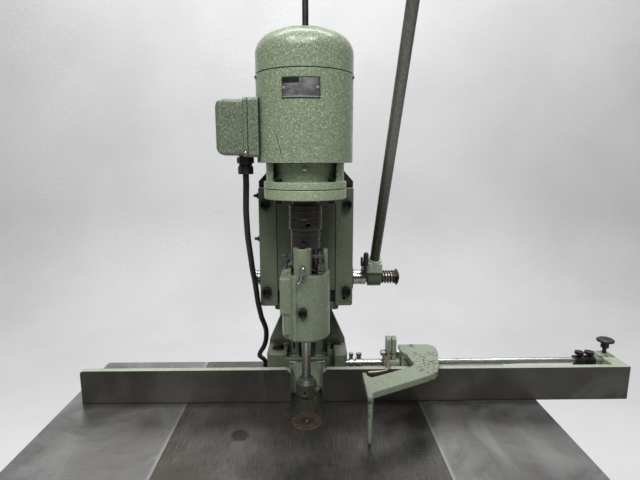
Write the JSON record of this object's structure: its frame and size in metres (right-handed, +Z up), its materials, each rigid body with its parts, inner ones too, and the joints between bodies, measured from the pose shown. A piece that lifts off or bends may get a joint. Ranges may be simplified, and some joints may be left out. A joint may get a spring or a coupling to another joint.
{
  "type": "dowel drilling machine",
  "caption": "Floor-standing dowel drilling machine: vertical motor and drill head on a lever-fed slide, over a planed table with a fence and a flip stop.",
  "frame": {"origin": "on the floor, centre of the four anchor holes, on the spindle axis", "axes": "+X to the right, +Y to the back, +Z up; the operator stands on the -Y side"},
  "size_m": [1.1319, 0.55, 1.786],
  "materials": {
    "green_paint": "glossy hammer-tone paint, worn at edges",
    "dark_green_paint": "oil-stained dark green paint",
    "planed_steel": "bare planed iron, oiled",
    "fence_steel": "green paint with a bare planed face",
    "bright_steel": "bright turned steel",
    "dark_steel": "oiled dark steel",
    "black_oxide": "black oxide",
    "black_paint": "semi-gloss black",
    "black_plastic": "moulded",
    "cable_rubber": "matt rubber sheath",
    "gib_brass": "machined",
    "winding_copper": "varnished winding",
    "spring_rust": "lightly rusted",
    "insert_wood": "worn turned wood",
    "plate_alu": "etched plate"
  },
  "bodies": {
    "frame": {"pedestal": "green_paint", "table_centre": "planed_steel", "table_wing_left": "planed_steel", "table_wing_right": "planed_steel", "table_insert": "insert_wood", "fence": "fence_steel", "foot_bracket": "green_paint", "hex_bolts": "black_oxide", "column": "green_paint", "column_cap": "black_paint", "keeper_strip_left": "green_paint", "keeper_strip_right": "green_paint", "socket_screws": "black_oxide", "gib_strip": "gib_brass", "gib_screws": "dark_steel", "shaft_bushes": "bright_steel", "stop_rail": "bright_steel", "switch_box": "dark_green_paint", "return_spring": "dark_steel", "motor_cable": "cable_rubber"},
    "switch": {"switch_knob": "black_plastic"},
    "left_collar_pair": {"left_collars": "dark_steel"},
    "right_collar_pair": {"right_collars": "dark_steel"},
    "end_screw": {"end_knob": "black_plastic"},
    "head": {"slide_plate": "green_paint", "feed_rack": "dark_steel", "spring_rod": "black_paint", "motor_bracket": "green_paint", "motor_endshield": "green_paint", "flange_bolts": "black_oxide", "motor_frame": "green_paint", "stator": "winding_copper", "fan_cowl": "green_paint", "motor_screws": "bright_steel", "nameplate": "plate_alu", "terminal_box_base": "green_paint", "terminal_box_cover": "green_paint", "terminal_block": "black_plastic", "cable_gland": "black_plastic", "head_casting": "green_paint", "head_screws": "black_oxide", "stop_stud": "bright_steel", "bearings": "bright_steel"},
    "clamp_screw": {"head_clamp": "bright_steel"},
    "drive": {"rotor": "dark_steel", "cooling_fan": "black_plastic", "coupling": "dark_steel", "spindle": "bright_steel", "chuck": "dark_green_paint"},
    "lever": {"pinion_shaft": "dark_steel", "lever_hub": "dark_green_paint", "lever_tube": "dark_steel", "lever_knob": "black_plastic", "index_pin": "black_oxide", "hub_spring": "spring_rust", "spring_cap": "black_oxide"},
    "carriage": {"stop_carriage": "green_paint"},
    "flip_stop": {"stop_arm": "green_paint", "stop_finger": "green_paint"},
    "carriage_clamp": {"stop_clamp": "spring_rust"}
  },
  "joints": [
    {"name": "feed", "type": "slide", "parent": "frame", "child": "head", "axis": [0, 0, 1], "range_m": [-0.015, 0.055], "deforming": ["return_spring", "motor_cable"]},
    {"name": "lever_turn", "type": "hinge", "parent": "frame", "child": "lever", "pos_m": [0.142, 0.16, 1.133], "axis": [1, 0, 0], "range_deg": [-88, 24.5]},
    {"name": "spindle_turn", "type": "hinge", "parent": "head", "child": "drive", "pos_m": [0, 0, 1.2], "axis": [0, 0, 1], "continuous": true},
    {"name": "clamp_turn", "type": "hinge", "parent": "head", "child": "clamp_screw", "pos_m": [-0.005, -0.046, 1.198], "axis": [0, -1, 0], "range_deg": [-60, 60]},
    {"name": "switch_turn", "type": "hinge", "parent": "frame", "child": "switch", "pos_m": [0, -0.165, 0.7], "axis": [0, -1, 0], "range_deg": [0, 90]},
    {"name": "left_collars_slide", "type": "slide", "parent": "frame", "child": "left_collar_pair", "axis": [1, 0, 0], "range_m": [-0.0025, 0.037]},
    {"name": "right_collars_slide", "type": "slide", "parent": "frame", "child": "right_collar_pair", "axis": [1, 0, 0], "range_m": [-0.2, 0.015]},
    {"name": "end_knob_turn", "type": "hinge", "parent": "frame", "child": "end_screw", "pos_m": [0.639, 0.131, 0.97], "axis": [0, 0, 1], "range_deg": [-180, 180]},
    {"name": "stop_slide", "type": "slide", "parent": "frame", "child": "carriage", "axis": [1, 0, 0], "range_m": [-0.037, 0.27]},
    {"name": "stop_flip", "type": "hinge", "parent": "carriage", "child": "flip_stop", "pos_m": [0.2, 0.112, 0.9615], "axis": [-1, 0, 0], "range_deg": [0, 70]},
    {"name": "stop_clamp_turn", "type": "hinge", "parent": "carriage", "child": "carriage_clamp", "pos_m": [0.165, 0.109, 0.9835], "axis": [-1, 0, 0], "range_deg": [0, 60]}
  ],
  "couplings": [
    {"joint": "lever_turn", "follows": "feed", "rad_per_m": -27.778}
  ]
}
